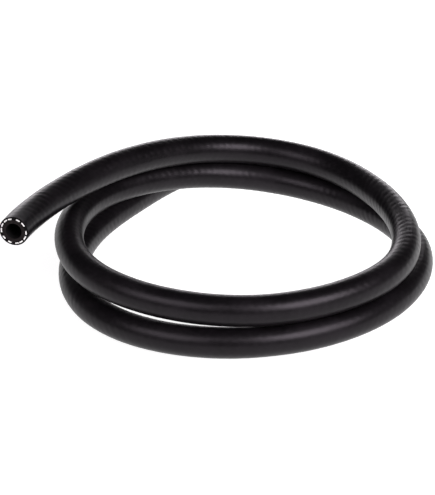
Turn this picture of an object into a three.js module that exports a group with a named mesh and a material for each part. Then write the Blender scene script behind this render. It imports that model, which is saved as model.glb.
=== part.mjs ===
// A rubber transmission cooler hose, lying on the floor in a loose coil of a little over two turns.
// Units are millimetres, +Z is up, the floor is z = 0 and the origin is under the middle of the coil.
//
// The hose is built as it is made: an inner tube, a layer of reinforcing yarn round it, and an outer
// cover. All three follow one route, which starts at the tail on the floor, winds upwards, and ends
// at the free end that sticks out over the coil.

import * as THREE from 'three';

// The hose's section, from the bore outwards: 3/8 in inside and 11/16 in (17.5 mm) over the cover
const BORE_D = 9.5;
const TUBE_WALL = 2.15;
const YARN_WALL = 0.8;
const COVER_WALL = 0.75;
const LAYER_GAP = 0.15;       // clearance between one layer and the next

const TUBE_OUTER = BORE_D / 2 + TUBE_WALL;
const YARN_INNER = TUBE_OUTER + LAYER_GAP;
const YARN_OUTER = YARN_INNER + YARN_WALL;
const COVER_INNER = YARN_OUTER + LAYER_GAP;
const HOSE_RADIUS = COVER_INNER + COVER_WALL;
const HOSE_OD = 2 * HOSE_RADIUS;

// The coil
const COIL_RADIUS = 97;       // mean radius of a turn, at the middle of the hose
const STATION_ANGLE = 30;     // degrees of turn between two stations
const FIRST_STATION = 30;     // angle of the first station, anticlockwise from +X, seen from above
const TAIL_ANGLE = 86;        // angle at which the tail's end is cut
const TIP_ANGLE = 943;        // angle at which the free end is cut, more than two turns on

// How far the hose wanders outwards from the coil's radius at each station, in hose diameters
const WANDER = [
  0.6, 1.2, 2.1, 2.15, 0.15, -0.05, 0.2, 0.6, 0.2, -0.15, -0.15, 0.2,
  0.55, 0.2, 0.1, -0.05, -0.5, 0.1, 0.35, 0.5, -0.15, -0.3, -0.3, 0.1,
  -0.15, -0.15, 0.3, -0.05, -0.75, -0.4, 1.05, 3.9, 7.0,
];

// How high the hose lies above the floor at each station, in hose diameters
const LEVEL = [
  0, 0, 0, 0, 0, 0, 0, 0, 0, 0, 0, 0,
  0, 0, 0.05, 0.4, 0.95, 1.1, 1.2, 1.25, 1.07, 1.03, 1.03, 1.03,
  1.05, 1.05, 1.08, 1.45, 2.0, 2.2, 2.17, 2.55, 3.0,
];

// How finely the layers are cut into flats
const SECTION_SIDES = 12;
const ROUTE_STEPS = 80;
const LENGTH_DIVISIONS = 1200;

const UP = new THREE.Vector3(0, 0, 1);

// The value of a list of stations at a place between them, as a uniform cubic B-spline
function between(stations, place) {
  const middle = THREE.MathUtils.clamp(Math.floor(place), 1, stations.length - 3);
  const u = place - middle;
  const weights = [
    (1 - u) ** 3,
    3 * u ** 3 - 6 * u ** 2 + 4,
    -3 * u ** 3 + 3 * u ** 2 + 3 * u + 1,
    u ** 3,
  ];
  return weights.reduce((sum, weight, i) => sum + weight * stations[middle - 1 + i], 0) / 6;
}

// The middle line of the hose, from the tail on the floor to the free end on top
class HoseRoute extends THREE.Curve {
  constructor() {
    super();
    this.arcLengthDivisions = LENGTH_DIVISIONS;
  }

  getPoint(t, target = new THREE.Vector3()) {
    const angle = THREE.MathUtils.lerp(TAIL_ANGLE, TIP_ANGLE, t);
    const place = (angle - FIRST_STATION) / STATION_ANGLE;
    const turn = THREE.MathUtils.degToRad(angle);
    const radius = COIL_RADIUS + between(WANDER, place) * HOSE_OD;
    const height = HOSE_RADIUS + between(LEVEL, place) * HOSE_OD;
    return target.set(radius * Math.cos(turn), radius * Math.sin(turn), height);
  }

  // The section never rolls: its first axis stays level, so the same flats run along the underside
  computeFrenetFrames(segments) {
    const frames = { tangents: [], normals: [], binormals: [] };
    for (let i = 0; i <= segments; i += 1) {
      const tangent = this.getTangentAt(i / segments);
      const normal = new THREE.Vector3().crossVectors(UP, tangent).normalize();
      frames.tangents.push(tangent);
      frames.normals.push(normal);
      frames.binormals.push(new THREE.Vector3().crossVectors(tangent, normal));
    }
    return frames;
  }
}

function circle(radius) {
  return Array.from({ length: SECTION_SIDES }, (_, i) => {
    const angle = (i * 2 * Math.PI) / SECTION_SIDES;
    return new THREE.Vector2(radius * Math.cos(angle), radius * Math.sin(angle));
  });
}

// One layer of the hose, between two radii, along the whole route
function layer(name, route, outerRadius, innerRadius, finish) {
  const section = new THREE.Shape(circle(outerRadius));
  section.holes.push(new THREE.Path(circle(innerRadius)));
  const geometry = new THREE.ExtrudeGeometry(section, { steps: ROUTE_STEPS, extrudePath: route });
  const mesh = new THREE.Mesh(geometry, new THREE.MeshStandardMaterial(finish));
  mesh.name = name;
  return mesh;
}

const COVER_RUBBER = { color: 0x232227, roughness: 0.5, metalness: 0 };
const YARN = { color: 0xe6e3da, roughness: 0.9, metalness: 0 };
const TUBE_RUBBER = { color: 0x1c1a1a, roughness: 0.65, metalness: 0 };

const route = new HoseRoute();
const hose = new THREE.Group();
hose.add(
  layer('outer_cover', route, HOSE_RADIUS, COVER_INNER, COVER_RUBBER),
  layer('yarn_reinforcement', route, YARN_OUTER, YARN_INNER, YARN),
  layer('inner_tube', route, TUBE_OUTER, BORE_D / 2, TUBE_RUBBER),
);

// The origin goes under the middle of the whole hose, tail and free end included
const middle = new THREE.Box3().setFromPoints(route.getSpacedPoints(ROUTE_STEPS)).getCenter(
  new THREE.Vector3(),
);
hose.position.set(-middle.x, -middle.y, 0);

export default hose;
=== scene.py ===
"""The looks of a coiled transmission cooler hose: ribbed rubber cover, braid, lined bore and cut ends.

The hose is one cord on one route. Its cover, its braid and its inner tube are closed tubes laid along
that route, and the cut ends of the yarns stand in the two cut faces.
"""

import math

import bmesh
import bpy
import numpy as np
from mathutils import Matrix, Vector


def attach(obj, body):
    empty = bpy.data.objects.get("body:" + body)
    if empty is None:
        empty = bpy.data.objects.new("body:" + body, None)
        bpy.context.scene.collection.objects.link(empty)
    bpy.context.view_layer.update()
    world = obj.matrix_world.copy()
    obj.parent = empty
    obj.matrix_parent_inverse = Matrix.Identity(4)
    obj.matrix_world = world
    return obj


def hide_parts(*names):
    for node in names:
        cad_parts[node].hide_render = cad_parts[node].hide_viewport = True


bl_info = {
    "name": "Transmission cooler hose",
    "version": (1, 0, 0),
    "blender": (4, 5, 0),
    "location": "3D View > Sidebar > Hose",
    "description": "Dresses the packed hose with rubber, braid, cut ends, a stage and a camera",
    "category": "Object",
}

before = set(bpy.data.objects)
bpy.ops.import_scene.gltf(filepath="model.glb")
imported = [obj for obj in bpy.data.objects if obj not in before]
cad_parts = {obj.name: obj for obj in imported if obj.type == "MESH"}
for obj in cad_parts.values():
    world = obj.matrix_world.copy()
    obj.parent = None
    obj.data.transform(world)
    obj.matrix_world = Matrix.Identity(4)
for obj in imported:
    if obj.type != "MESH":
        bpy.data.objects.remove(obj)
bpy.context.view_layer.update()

MM = 0.001

# The section, as in the part's source
BORE_D = 9.5 * MM
TUBE_WALL = 2.15 * MM
YARN_WALL = 0.8 * MM
COVER_WALL = 0.75 * MM
LAYER_GAP = 0.15 * MM

# The route's stations, as in the part's source
COIL_RADIUS = 97 * MM
STATION_ANGLE = 30
FIRST_STATION = 30
TAIL_ANGLE = 86
TIP_ANGLE = 943
WANDER = [
    0.6, 1.2, 2.1, 2.15, 0.15, -0.05, 0.2, 0.6, 0.2, -0.15, -0.15, 0.2,
    0.55, 0.2, 0.1, -0.05, -0.5, 0.1, 0.35, 0.5, -0.15, -0.3, -0.3, 0.1,
    -0.15, -0.15, 0.3, -0.05, -0.75, -0.4, 1.05, 3.9, 7.0,
]
LEVEL = [
    0, 0, 0, 0, 0, 0, 0, 0, 0, 0, 0, 0,
    0, 0, 0.05, 0.4, 0.95, 1.1, 1.2, 1.25, 1.07, 1.03, 1.03, 1.03,
    1.05, 1.05, 1.08, 1.45, 2.0, 2.2, 2.17, 2.55, 3.0,
]
ROUTE_SAMPLES = 6000

# How closely the hose's middle line is sampled into a path
PATH_STEP = 4 * MM

# Where the yarns stand in the free end's face, in degrees clockwise from its top, and in the tail's
FREE_YARNS = [-17, 21, 50, 91, 117, 145, 166, 200, 232, 268, 294, 320]
TAIL_YARNS = [8, 36, 70, 95, 131, 158, 184, 219, 247, 275, 309, 336]

# How plainly the winding ribs show at each station
RIB_STRENGTH = [
    0.5, 0.5, 0.5, 0.5, 0.5, 0.6, 0.8, 0.4, 0.2, 0.2, 0.2, 0.3,
    0.8, 0.7, 0.4, 0.4, 0.4, 0.4, 0.3, 0.2, 0.2, 0.2, 0.2, 0.5,
    0.9, 0.7, 0.3, 0.4, 0.5, 0.6, 0.7, 0.7, 0.7,
]

# Uneven fields over the cover, each with its wavelength along the hose and its seed
SLOW_FADE = (63 * MM, 5)
QUICK_FADE = (19 * MM, 9)
RIB_STRAY = (31 * MM, 7)
SLOW_SWELL = (55 * MM, 1)
QUICK_SWELL = (13 * MM, 4)
RIPPLE_STRETCHES = (1.0, 0.61, 1.73, 0.83)

# How high the swellings stand, and how far from a cut the relief and the oval are whole
SLOW_SWELL_HEIGHT = 0.05 * MM
QUICK_SWELL_HEIGHT = 0.025 * MM
RELIEF_FADE_IN = 12 * MM
OVAL_FADE_IN = 90 * MM

# The mesh along the hose
COLUMNS = 40
COVER_STEP = 0.7 * MM
PLAIN_STEP = 8 * MM
SEAM = 0.001 * MM
ROUNDING_ANGLES = (15, 45, 75)

# The braid ends a little behind the cut faces, and shows cut rubber up to BRAID_CUT from them
BRAID_EDGE = 0.08 * MM
BRAID_SET_BACK = 0.12 * MM
BRAID_CUT = 1 * MM

# The fibres of a cut yarn: their radius, their spacing in radii and how unevenly they lie
FIBRE = 0.17 * MM
FIBRE_SPACING = 1.45
FIBRE_LAYER_SPACING = 1.35
FIBRE_SIDE_STRAY = 0.05 * MM
FIBRE_RADIAL_STRAY = 0.04 * MM
FIBRE_DEPTH = 1.4 * MM
FIBRE_LEAN = 0.25 * MM
FIBRE_TIP = 0.06 * MM
FIBRE_SIDES = 6
YARN_SEED = 13

# How closely the knife's drag lines lie along each axis, in lines per metre
DRAG_LINES = (900, 900, 5200)

# The camera, measured against the coil's centre, and the photograph's frame
CAMERA_AZIMUTH = math.radians(25)
CAMERA_ELEVATION = math.radians(29)
CAMERA_DISTANCE = 1.15
AIM_FROM_COIL = Vector((-5.9 * MM, -23.7 * MM, 26.2 * MM))
FRAME_HEIGHT_PX = 495
FOCAL_PX = 1970
SENSOR = 36

LIGHT_COLOUR = (1.0, 0.96, 1.0)
ROOM_LIGHT = 0.06

# Each soft box: name, width and height, brightness, azimuth from the camera, elevation, distance
SOFT_BOXES = (
    ("right box", (0.75, 0.62), 10.0, 43, 36, 1.2),
    ("left box", (0.72, 0.6), 3.8, -38, 38, 1.2),
    ("front fill", (1.6, 0.9), 0.35, 0, 50, 1.7),
    ("back wall", (1.5, 0.55), 4.5, 180, 8, 1.8),
)

# The floor, which glows more and more from GLOW_START to GLOW_END along its Y axis
FLOOR_RADIUS = 6
FLOOR_SIDES = 96
GLOW_START = -50 * MM
GLOW_END = 200 * MM
NEAR_GLOW = (1, 1, 1, 1)
FAR_GLOW = (1.7, 1.7, 1.7, 1)
GLOW_STRENGTH = 0.88


class HoseSizes(bpy.types.PropertyGroup):
    """Sizes that a user would change."""

    rib_pitch: bpy.props.FloatProperty(
        name="Rib pitch", description="Distance along the hose between two winding ribs of the cover",
        default=4.9 * MM, min=1 * MM, unit="LENGTH", precision=5)
    rib_height: bpy.props.FloatProperty(
        name="Rib height", description="Height of a winding rib above the cover's mean surface",
        default=0.06 * MM, min=0, unit="LENGTH", precision=6)
    edge_round: bpy.props.FloatProperty(
        name="Cut edge rounding", description="Radius left on the edges of the cut faces",
        default=0.12 * MM, min=0, unit="LENGTH", precision=5)
    oval: bpy.props.FloatProperty(
        name="Oval", description="How far a bend pushes the cover up and down, and draws in its sides",
        default=0.2 * MM, min=0, unit="LENGTH", precision=5)
    rib_count: bpy.props.IntProperty(
        name="Ribs", description="Ribs that wind side by side, one for each yarn that winds their way",
        default=6, min=1)
    yarn_width: bpy.props.FloatProperty(
        name="Yarn width", description="Width of one yarn along the ring",
        default=2.45 * MM, min=0.1 * MM, unit="LENGTH", precision=5)


class HoseColours(bpy.types.PropertyGroup):
    """Colours that a user would change."""

    cover: bpy.props.FloatVectorProperty(
        name="Cover", description="Black rubber of the cover",
        subtype="COLOR", size=4, min=0, max=1, default=(0.0016, 0.0013, 0.0016, 1))
    bloom: bpy.props.FloatVectorProperty(
        name="Bloom", description="Pale haze on the cover's raised places",
        subtype="COLOR", size=4, min=0, max=1, default=(0.0075, 0.0061, 0.0074, 1))
    tube: bpy.props.FloatVectorProperty(
        name="Inner tube", description="Dark rubber of the bore",
        subtype="COLOR", size=4, min=0, max=1, default=(0.0024, 0.0019, 0.0020, 1))
    cut: bpy.props.FloatVectorProperty(
        name="Cut inner tube", description="Brownish grey where the knife went through the inner tube",
        subtype="COLOR", size=4, min=0, max=1, default=(0.019, 0.0145, 0.0148, 1))
    yarn: bpy.props.FloatVectorProperty(
        name="Yarn", description="Off-white reinforcing yarn",
        subtype="COLOR", size=4, min=0, max=1, default=(0.95, 0.94, 0.92, 1))
    floor: bpy.props.FloatVectorProperty(
        name="Floor", description="Pale studio floor",
        subtype="COLOR", size=4, min=0, max=1, default=(0.4, 0.4, 0.4, 1))


def station_values(stations, place):
    """The values of a list of stations at places between them, as a uniform cubic B-spline."""
    stations = np.asarray(stations, float)
    middle = np.clip(np.floor(place).astype(int), 1, len(stations) - 3)
    u = place - middle
    weights = [(1 - u) ** 3, 3 * u**3 - 6 * u**2 + 4, -3 * u**3 + 3 * u**2 + 3 * u + 1, u**3]
    return sum(weight * stations[middle - 1 + i] for i, weight in enumerate(weights)) / 6


class Route:
    """The hose's middle line, from the tail on the floor to the free end on top."""

    def __init__(self):
        self.radius = BORE_D / 2 + TUBE_WALL + YARN_WALL + COVER_WALL + 2 * LAYER_GAP
        angles = np.linspace(TAIL_ANGLE, TIP_ANGLE, ROUTE_SAMPLES)
        place = (angles - FIRST_STATION) / STATION_ANGLE
        reach = COIL_RADIUS + station_values(WANDER, place) * 2 * self.radius
        height = self.radius + station_values(LEVEL, place) * 2 * self.radius
        turn = np.radians(angles)
        points = np.stack([reach * np.cos(turn), reach * np.sin(turn), height], axis=1)
        middle = (points.min(axis=0) + points.max(axis=0)) / 2
        self.centre = Vector((-middle[0], -middle[1], 0))
        self.points = points + np.array(self.centre)
        steps = np.linalg.norm(np.diff(self.points, axis=0), axis=1)
        self.along = np.concatenate([[0], np.cumsum(steps)])
        self.length = self.along[-1]
        self.places = place

    def place(self, along):
        """Where a point along the hose lies among the stations."""
        return np.interp(along, self.along, self.places)

    def at(self, along):
        """Points on the middle line, and the level and upward axes of the section there."""
        gradient = np.gradient(self.points, self.along, axis=0)
        point, tangent = (
            np.stack([np.interp(along, self.along, column) for column in table.T], axis=-1)
            for table in (self.points, gradient)
        )
        tangent /= np.linalg.norm(tangent, axis=-1, keepdims=True)
        point = point + tangent * (along - np.clip(along, 0, self.length))[..., None]
        side = np.cross([0, 0, 1], tangent)
        side /= np.linalg.norm(side, axis=-1, keepdims=True)
        return point, side, np.cross(tangent, side)

    def wrap(self, along, angle, radius):
        """Points on the hose: so far along it, at that angle round it, at that radius."""
        point, side, up = self.at(along)
        out = np.cos(angle)[..., None] * side + np.sin(angle)[..., None] * up
        return point + radius[..., None] * out


ROUTE = Route()
TUBE_OUTER = BORE_D / 2 + TUBE_WALL
BRAID_INNER = TUBE_OUTER + LAYER_GAP
BRAID_OUTER = BRAID_INNER + YARN_WALL
COVER_INNER = BRAID_OUTER + LAYER_GAP


def ripple(along, angle, wavelength, seed):
    """A smooth uneven field between -1 and 1 that meets itself round the hose."""
    field = 0
    for turns, stretch in enumerate(RIPPLE_STRETCHES):
        phase = seed * (1.3 + turns) + 2.1 * turns
        field = field + np.sin(2 * math.pi * along / (wavelength * stretch) + turns * angle + phase)
    return field / len(RIPPLE_STRETCHES)


def sleeve_rows(outer, inner, edge, step):
    """The closed section of a sleeve as rows of (along, radius, cut face or not)."""
    length = ROUTE.length
    rounding = [
        (edge * (1 - math.cos(turn)), edge * (1 - math.sin(turn)))
        for turn in np.radians(ROUNDING_ANGLES)
    ]
    count = max(2, round((length - 2 * edge) / step))
    outside = [(edge + (length - 2 * edge) * i / count, outer, 0) for i in range(count + 1)]
    inside_count = max(2, round(length / PLAIN_STEP))
    inside = [(length - length * i / inside_count, inner, 0) for i in range(1, inside_count)]
    start = [(0, inner, 1), (0, inner + edge, 1), (0, outer - edge, 1)]
    start += [(along, outer - drop, 0) for along, drop in rounding]
    end = [(length - along, radius, cut) for along, radius, cut in reversed(start)]
    return start + outside + end + inside + [start[0]]


def lay_sleeve(name, rows, shape):
    """A closed tube along the route: a grid with one row a section and its last column on its first."""
    mesh = bmesh.new()
    bmesh.ops.create_grid(mesh, x_segments=len(rows) - 1, y_segments=COLUMNS, size=1)
    at = np.array([vertex.co for vertex in mesh.verts])
    row = np.rint((at[:, 0] + 1) / 2 * (len(rows) - 1)).astype(int)
    column = np.rint((at[:, 1] + 1) / 2 * COLUMNS).astype(int)
    along, radius, cut = np.array(rows, float).T[:, row]
    points = shape(along, 2 * math.pi * (column % COLUMNS) / COLUMNS, radius)
    map_layer = mesh.loops.layers.uv.new("hose_map")
    for vertex, point in zip(mesh.verts, points):
        vertex.co = point
    for face in mesh.faces:
        corners = [loop.vert.index for loop in face.loops]
        face.material_index = int(all(cut[i] for i in corners))
        face.smooth = True
        for loop, i in zip(face.loops, corners):
            loop[map_layer].uv = (along[i], column[i] / COLUMNS)
    bmesh.ops.remove_doubles(mesh, verts=mesh.verts, dist=SEAM)
    bmesh.ops.recalc_face_normals(mesh, faces=mesh.faces)
    return to_object(name, mesh)


def to_object(name, mesh):
    """Puts a finished bmesh into the scene as an object at the origin."""
    data = bpy.data.meshes.new(name)
    mesh.to_mesh(data)
    mesh.free()
    piece = bpy.data.objects.new(name, data)
    bpy.context.scene.collection.objects.link(piece)
    return piece


def finish_piece(piece, materials):
    """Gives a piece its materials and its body."""
    for material in materials:
        piece.data.materials.append(material)
    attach(piece, "root")


class Socket:
    """A shader socket that adds, subtracts and multiplies like a number."""

    def __init__(self, shader, link):
        self.shader = shader
        self.link = link

    def maths(self, operation, *operands):
        return self.shader.add("Math", {"operation": operation}, dict(enumerate(operands)))

    def __add__(self, other):
        return self.maths("ADD", self, other)

    def __radd__(self, other):
        return self.maths("ADD", other, self)

    def __sub__(self, other):
        return self.maths("SUBTRACT", self, other)

    def __rsub__(self, other):
        return self.maths("SUBTRACT", other, self)

    def __mul__(self, other):
        return self.maths("MULTIPLY", self, other)

    def __rmul__(self, other):
        return self.maths("MULTIPLY", other, self)

    def wave(self):
        """A smooth wave between 0 and 1, one for each unit of this value."""
        return self.maths("SINE", self * (2 * math.pi)) * 0.5 + 0.5

    def between(self, low, high):
        """This value spread from 0 at low to 1 at high, with soft ends."""
        return self.shader.add("MapRange", {"interpolation_type": "SMOOTHSTEP"},
                               {"Value": self, "From Min": low, "From Max": high})


class Shader:
    """One material and its nodes."""

    def __init__(self, name):
        self.material = bpy.data.materials.new(name)
        self.material.use_nodes = True
        self.tree = self.material.node_tree
        self.surface = self.tree.nodes["Principled BSDF"]

    def add(self, kind, settings=None, sockets=None, output=0):
        """Makes a node, sets it, fills its sockets with values or links, and hands back one output."""
        node = self.tree.nodes.new("ShaderNode" + kind)
        for name, value in (settings or {}).items():
            setattr(node, name, value)
        self.fill(node, sockets or {})
        return Socket(self, node.outputs[output])

    def fill(self, node, sockets):
        """Links or sets each of a node's named sockets."""
        for name, value in sockets.items():
            if isinstance(value, Socket):
                self.tree.links.new(value.link, node.inputs[name])
            else:
                node.inputs[name].default_value = value

    def finish(self, **sockets):
        """Fills the surface's own sockets, named with an underscore for each space."""
        self.fill(self.surface, {name.replace("_", " "): value for name, value in sockets.items()})
        return self.material

    def place(self):
        """Where a point lies in the object's own space."""
        return self.add("TexCoord", output="Object")

    def noise(self, size, detail=2, roughness=0.5):
        """Noise in the object's own space, with features about size metres across."""
        return self.add("TexNoise", None, {"Vector": self.place(), "Scale": 1 / size,
                                           "Detail": detail, "Roughness": roughness})

    def hose_map(self):
        """How far along the hose in metres, and what share of a turn round it."""
        uv = self.add("UVMap", {"uv_map": "hose_map"})
        split = self.add("SeparateXYZ", None, {"Vector": uv})
        return split, Socket(self, split.link.node.outputs["Y"])

    def blend(self, factor, low, high):
        """A colour that goes from low to high as the factor goes from 0 to 1."""
        return self.add("Mix", {"data_type": "RGBA"}, {"Factor": factor, 6: low, 7: high}, output=2)

    def bump(self, height, depth):
        """A normal for a relief whose height of 1 stands depth metres proud."""
        return self.add("Bump", None, {"Height": height, "Distance": depth, "Strength": 1.0})


def windings(shader):
    """Two sets of waves between 0 and 1 that wind opposite ways, as the yarns do."""
    sizes = bpy.context.scene.hose_sizes
    along, around = shader.hose_map()
    wound = along * (1 / sizes.rib_pitch)
    return (wound - around * sizes.rib_count).wave(), (wound + around * sizes.rib_count).wave()


def braid_height(shader):
    """Yarns that wind both ways, one set over the other, as a height from 0 to 1."""
    one_way, other_way = windings(shader)
    return one_way.maths("MAXIMUM", one_way, other_way)


def cover_material():
    """Satin black rubber with a faint print of the braid, fine grain and a patchy pale bloom."""
    colours = bpy.context.scene.hose_colours
    shader = Shader("cover rubber")
    patches = shader.noise(size=26 * MM, detail=3).between(0.35, 0.75)
    grain = shader.noise(size=0.35 * MM)
    mottle = shader.noise(size=2.4 * MM).between(0.3, 0.8)
    bloom = patches * 0.5 + mottle * 0.35 + grain * 0.15
    print_of_braid = windings(shader)[1]
    height = print_of_braid * 0.6 + grain * 0.25 + mottle * 0.15
    return shader.finish(
        Base_Color=shader.blend(bloom, list(colours.cover), list(colours.bloom)),
        Roughness=0.30 + bloom * 0.12 + grain * 0.04,
        Normal=shader.bump(height, depth=0.03 * MM),
        Specular_IOR_Level=0.21,
        Specular_Tint=(1.0, 0.92, 1.0, 1),
    )


def cut_material(name, dark, pale):
    """Rubber on a knife cut: duller, with fine drag lines."""
    shader = Shader(name)
    drag = shader.add("TexNoise", None, {
        "Vector": shader.add("Mapping", None, {"Vector": shader.place(), "Scale": DRAG_LINES}),
        "Scale": 1.0, "Detail": 2.0})
    grain = shader.noise(size=0.25 * MM, detail=3)
    tear = drag * 0.6 + grain * 0.4
    return shader.finish(
        Base_Color=shader.blend(tear.between(0.3, 0.7), list(dark), list(pale)),
        Roughness=0.75 + grain * 0.15,
        Normal=shader.bump(tear, depth=0.04 * MM),
        Specular_IOR_Level=0.1,
    )


def tube_material():
    """The rubber of the bore: drawn lengthwise and dull."""
    colours = bpy.context.scene.hose_colours
    shader = Shader("inner tube rubber")
    around = shader.hose_map()[1]
    lines = (around * 40 + shader.noise(size=6 * MM) * 2).wave()
    grain = shader.noise(size=0.3 * MM)
    return shader.finish(
        Base_Color=shader.blend(grain, list(colours.cover), list(colours.tube)),
        Roughness=0.65 + grain * 0.15,
        Normal=shader.bump(lines * 0.4 + grain * 0.6, depth=0.02 * MM),
        Specular_IOR_Level=0.08,
    )


def yarn_material():
    """Off-white twisted fibre."""
    colours = bpy.context.scene.hose_colours
    shader = Shader("yarn fibre")
    fibres = shader.noise(size=0.12 * MM, detail=3, roughness=0.6)
    shade = [0.72 * channel for channel in colours.yarn[:3]] + [1]
    return shader.finish(
        Base_Color=shader.blend(fibres.between(0.3, 0.7), shade, list(colours.yarn)),
        Roughness=0.8 + fibres * 0.15,
        Normal=shader.bump(fibres, depth=0.03 * MM),
        Sheen_Weight=0.3,
    )


def braid_material():
    """The yarns of the braid, with the rubber that fills the spaces between them."""
    colours = bpy.context.scene.hose_colours
    shader = Shader("braid in rubber")
    yarns = braid_height(shader).between(0.55, 0.8)
    fibres = shader.noise(size=0.15 * MM)
    return shader.finish(
        Base_Color=shader.blend(yarns, list(colours.cover), list(colours.yarn)),
        Roughness=0.6 + yarns * 0.2,
        Normal=shader.bump(yarns * 0.8 + fibres * 0.2, depth=0.2 * MM),
    )


def cover_shape(along, angle, radius):
    """The cover's surface: winding ribs that fade, slow swellings and an upright oval in the bends."""
    sizes = bpy.context.scene.hose_sizes
    from_end = np.minimum(along, ROUTE.length - along)
    whole_relief = np.clip(from_end / RELIEF_FADE_IN, 0, 1)
    oval = sizes.oval * np.clip(from_end / OVAL_FADE_IN, 0, 1)
    outside = np.clip((radius - COVER_INNER) / (ROUTE.radius - COVER_INNER), 0, 1)
    fading = 0.6 * ripple(along, angle, *SLOW_FADE) + 1.1 * ripple(along, angle, *QUICK_FADE)
    strength = station_values(RIB_STRENGTH, ROUTE.place(along)) * (1 + fading)
    stray = 0.5 * ripple(along, angle, *RIB_STRAY)
    wave = 2 * math.pi * along / sizes.rib_pitch - sizes.rib_count * angle + stray
    ribs = sizes.rib_height * strength * (np.cos(wave) - 0.3 * np.cos(2 * wave))
    swell = SLOW_SWELL_HEIGHT * ripple(along, angle, *SLOW_SWELL)
    swell = swell + QUICK_SWELL_HEIGHT * ripple(along, angle, *QUICK_SWELL)
    relief = (ribs + swell) * whole_relief - oval * np.cos(2 * angle)
    points = ROUTE.wrap(along, angle, radius + relief * outside)
    points[:, 2] = np.maximum(points[:, 2], 0)
    return points


def plain_shape(along, angle, radius):
    """A smooth round surface."""
    return ROUTE.wrap(along, angle, radius)


class HOSE_OT_outer_cover(bpy.types.Operator):
    bl_idname = "hose.outer_cover"
    bl_label = "Outer cover"

    def execute(self, context):
        sizes, colours = context.scene.hose_sizes, context.scene.hose_colours
        rows = sleeve_rows(ROUTE.radius, COVER_INNER, sizes.edge_round, COVER_STEP)
        piece = lay_sleeve("cover", rows, cover_shape)
        materials = [cover_material(), cut_material("cut cover", colours.cover, colours.tube)]
        finish_piece(piece, materials)
        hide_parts("outer_cover")
        count = round(ROUTE.length / PATH_STEP)
        path = ROUTE.at(np.linspace(0, ROUTE.length, count))[0]
        return {"FINISHED"}


class HOSE_OT_inner_tube(bpy.types.Operator):
    """Lay the inner tube with its bore along the route"""

    bl_idname = "hose.inner_tube"
    bl_label = "Inner tube"

    def execute(self, context):
        edge, colours = context.scene.hose_sizes.edge_round, context.scene.hose_colours
        rows = sleeve_rows(TUBE_OUTER, BORE_D / 2, edge, PLAIN_STEP)
        piece = lay_sleeve("tube", rows, plain_shape)
        materials = [tube_material(), cut_material("cut inner tube", colours.tube, colours.cut)]
        finish_piece(piece, materials)
        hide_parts("inner_tube")
        return {"FINISHED"}


class HOSE_OT_braid(bpy.types.Operator):
    """Lay the braid between the two rubbers"""

    bl_idname = "hose.braid"
    bl_label = "Braid"

    def execute(self, context):
        colours = context.scene.hose_colours
        rows = sleeve_rows(COVER_INNER - SEAM, TUBE_OUTER + SEAM, BRAID_EDGE, PLAIN_STEP)
        first, last = BRAID_SET_BACK, ROUTE.length - BRAID_SET_BACK
        rows = [
            (np.clip(along, first, last), radius, not BRAID_CUT < along < ROUTE.length - BRAID_CUT)
            for along, radius, _ in rows
        ]
        piece = lay_sleeve("braid", rows, plain_shape)
        materials = [braid_material(), cut_material("cut braid", colours.cover, colours.tube)]
        finish_piece(piece, materials)
        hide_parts("yarn_reinforcement")
        return {"FINISHED"}


class HOSE_OT_yarn_ends(bpy.types.Operator):
    """Stand the cut yarns in the two cut faces, each a flat bundle of fibres"""

    bl_idname = "hose.yarn_ends"
    bl_label = "Yarn ends"

    def execute(self, context):
        material = yarn_material()
        for name, face, inward, bearings in (
            ("yarn_ends_free", ROUTE.length, -1, FREE_YARNS),
            ("yarn_ends_tail", 0.0, 1, TAIL_YARNS),
        ):
            finish_piece(self.bundles(context, name, face, inward, bearings), [material])
        return {"FINISHED"}

    def bundles(self, context, name, face, inward, bearings):
        """All the yarns of one cut face, each three layers of fibres deep."""
        sizes = context.scene.hose_sizes
        random = np.random.default_rng(YARN_SEED + inward)
        middle = (BRAID_INNER + BRAID_OUTER) / 2
        mesh = bmesh.new()
        for bearing in bearings:
            around = math.radians(90 - bearing)
            width = sizes.yarn_width * random.uniform(0.82, 1.1)
            across = round(width / (FIBRE_SPACING * FIBRE))
            for layer in (-1, 0, 1):
                in_layer = across - abs(layer)
                for place in range(in_layer):
                    sideways = (place - (in_layer - 1) / 2) / across * width
                    sideways = sideways + random.uniform(-1, 1) * FIBRE_SIDE_STRAY
                    radius = middle + layer * FIBRE_LAYER_SPACING * FIBRE
                    radius = radius + random.uniform(-1, 1) * FIBRE_RADIAL_STRAY
                    proud = random.uniform(-0.03, 0.16) * MM
                    thickness = FIBRE * random.uniform(0.95, 1.15)
                    self.stub(mesh, face, inward, around + sideways / middle, radius, proud, thickness)
        return to_object(name, mesh)

    def stub(self, mesh, face, inward, angle, radius, proud, thickness):
        """One fibre: a short rod that leans with the braid and ends in a rounded tip."""
        rings = [
            (FIBRE_DEPTH, 0.9, FIBRE_LEAN),
            (0, 1, 0),
            (-proud, 0.8, -0.1 * FIBRE_LEAN),
            (-proud - FIBRE_TIP, 0.35, 0),
        ]
        loops = []
        for sunk, share, slide in rings:
            ring = bmesh.ops.create_circle(mesh, segments=FIBRE_SIDES, radius=thickness * share)["verts"]
            along = np.full(1, face + inward * sunk)
            point, side, up = (Vector(vector[0]) for vector in ROUTE.at(along))
            turn = angle + slide / radius
            out = math.cos(turn) * side + math.sin(turn) * up
            sideways = math.cos(turn) * up - math.sin(turn) * side
            for vertex in ring:
                vertex.co = point + out * (radius + vertex.co.x) + sideways * vertex.co.y
            loops.append(ring)
        for low, high in zip(loops, loops[1:]):
            edges = [edge for loop in (low, high) for edge in mesh_edges(loop)]
            bmesh.ops.bridge_loops(mesh, edges=edges)
        mesh.faces.new(loops[0])
        mesh.faces.new(loops[-1])
        shell = {flat for loop in loops for vertex in loop for flat in vertex.link_faces}
        for flat in shell:
            flat.smooth = True
        bmesh.ops.recalc_face_normals(mesh, faces=list(shell))


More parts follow.
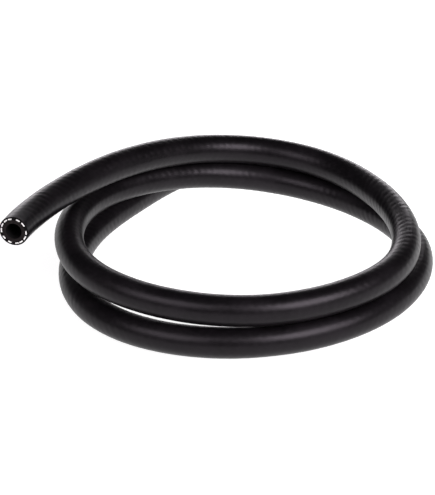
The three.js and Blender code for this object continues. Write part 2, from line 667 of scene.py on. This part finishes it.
def mesh_edges(vertices):
    """The edges that join vertices of one closed loop."""
    members = set(vertices)
    return list({edge for vertex in vertices for edge in vertex.link_edges
                 if edge.other_vert(vertex) in members})


def direction(azimuth, elevation):
    """The way from the coil to a place anticlockwise from the -Y axis and above the floor, in radians."""
    return Vector((
        math.sin(azimuth) * math.cos(elevation),
        -math.cos(azimuth) * math.cos(elevation),
        math.sin(elevation),
    ))


def add_light(name, size, brightness, azimuth, elevation, distance):
    """A soft box that looks at the coil, where a brightness of 1 is a white wall in full light.

    Azimuth is anticlockwise from the camera's side, seen from above, and both angles are in degrees.
    """
    data = bpy.data.lights.new(name, "AREA")
    data.shape = "RECTANGLE"
    data.size, data.size_y = size
    data.energy = brightness * math.pi * size[0] * size[1]
    data.color = LIGHT_COLOUR
    light = bpy.data.objects.new(name, data)
    away = direction(CAMERA_AZIMUTH + math.radians(azimuth), math.radians(elevation))
    light.location = ROUTE.centre + away * distance
    light.rotation_euler = away.to_track_quat("Z", "Y").to_euler()
    bpy.context.scene.collection.objects.link(light)


class HOSE_OT_stage(bpy.types.Operator):
    """Set the pale floor, the soft boxes, the surrounding light and the camera"""

    bl_idname = "hose.stage"
    bl_label = "Stage"

    def execute(self, context):
        self.floor(context)
        self.lights()
        self.camera(context)
        context.scene.view_settings.view_transform = "Standard"
        return {"FINISHED"}

    def floor(self, context):
        mesh = bmesh.new()
        bmesh.ops.create_circle(mesh, cap_ends=True, segments=FLOOR_SIDES, radius=FLOOR_RADIUS)
        floor = to_object("floor", mesh)
        shader = Shader("pale floor")
        across = shader.add("SeparateXYZ", None, {"Vector": shader.place()}, output="Y")
        floor.data.materials.append(shader.finish(
            Base_Color=list(context.scene.hose_colours.floor),
            Roughness=0.9,
            Specular_IOR_Level=0.1,
            Emission_Color=shader.blend(across.between(GLOW_START, GLOW_END), NEAR_GLOW, FAR_GLOW),
            Emission_Strength=GLOW_STRENGTH,
        ))

    def lights(self):
        world = bpy.data.worlds.new("studio")
        world.use_nodes = True
        background = world.node_tree.nodes["Background"]
        background.inputs["Color"].default_value = (*LIGHT_COLOUR, 1)
        background.inputs["Strength"].default_value = ROOM_LIGHT
        bpy.context.scene.world = world
        for soft_box in SOFT_BOXES:
            add_light(*soft_box)

    def camera(self, context):
        data = bpy.data.cameras.new("camera")
        data.sensor_fit = "AUTO"
        data.sensor_width = SENSOR
        data.lens = FOCAL_PX / FRAME_HEIGHT_PX * SENSOR
        camera = bpy.data.objects.new("camera", data)
        away = direction(CAMERA_AZIMUTH, CAMERA_ELEVATION)
        camera.location = ROUTE.centre + AIM_FROM_COIL + away * CAMERA_DISTANCE
        camera.rotation_euler = away.to_track_quat("Z", "Y").to_euler()
        context.scene.collection.objects.link(camera)
        context.scene.camera = camera


class HOSE_PT_sidebar(bpy.types.Panel):
    """The hose's pieces and sizes"""

    bl_idname = "HOSE_PT_sidebar"
    bl_label = "Hose"
    bl_space_type = "VIEW_3D"
    bl_region_type = "UI"
    bl_category = "Hose"

    def draw(self, context):
        for group in (context.scene.hose_sizes, context.scene.hose_colours):
            box = self.layout.box()
            for name in group.__annotations__:
                box.prop(group, name)
        for operator in OPERATORS:
            self.layout.operator(operator.bl_idname)


OPERATORS = (
    HOSE_OT_stage,
    HOSE_OT_outer_cover,
    HOSE_OT_inner_tube,
    HOSE_OT_braid,
    HOSE_OT_yarn_ends,
)
GROUPS = (HoseSizes, HoseColours)


def register():
    for cls in (*GROUPS, *OPERATORS, HOSE_PT_sidebar):
        bpy.utils.register_class(cls)
    bpy.types.Scene.hose_sizes = bpy.props.PointerProperty(type=HoseSizes)
    bpy.types.Scene.hose_colours = bpy.props.PointerProperty(type=HoseColours)


def unregister():
    del bpy.types.Scene.hose_colours
    del bpy.types.Scene.hose_sizes
    for cls in reversed((*GROUPS, *OPERATORS, HOSE_PT_sidebar)):
        bpy.utils.unregister_class(cls)


def main():
    register()
    bpy.ops.hose.stage()
    bpy.ops.hose.outer_cover()
    bpy.ops.hose.inner_tube()
    bpy.ops.hose.braid()
    bpy.ops.hose.yarn_ends()


if __name__ == "__main__":
    main()
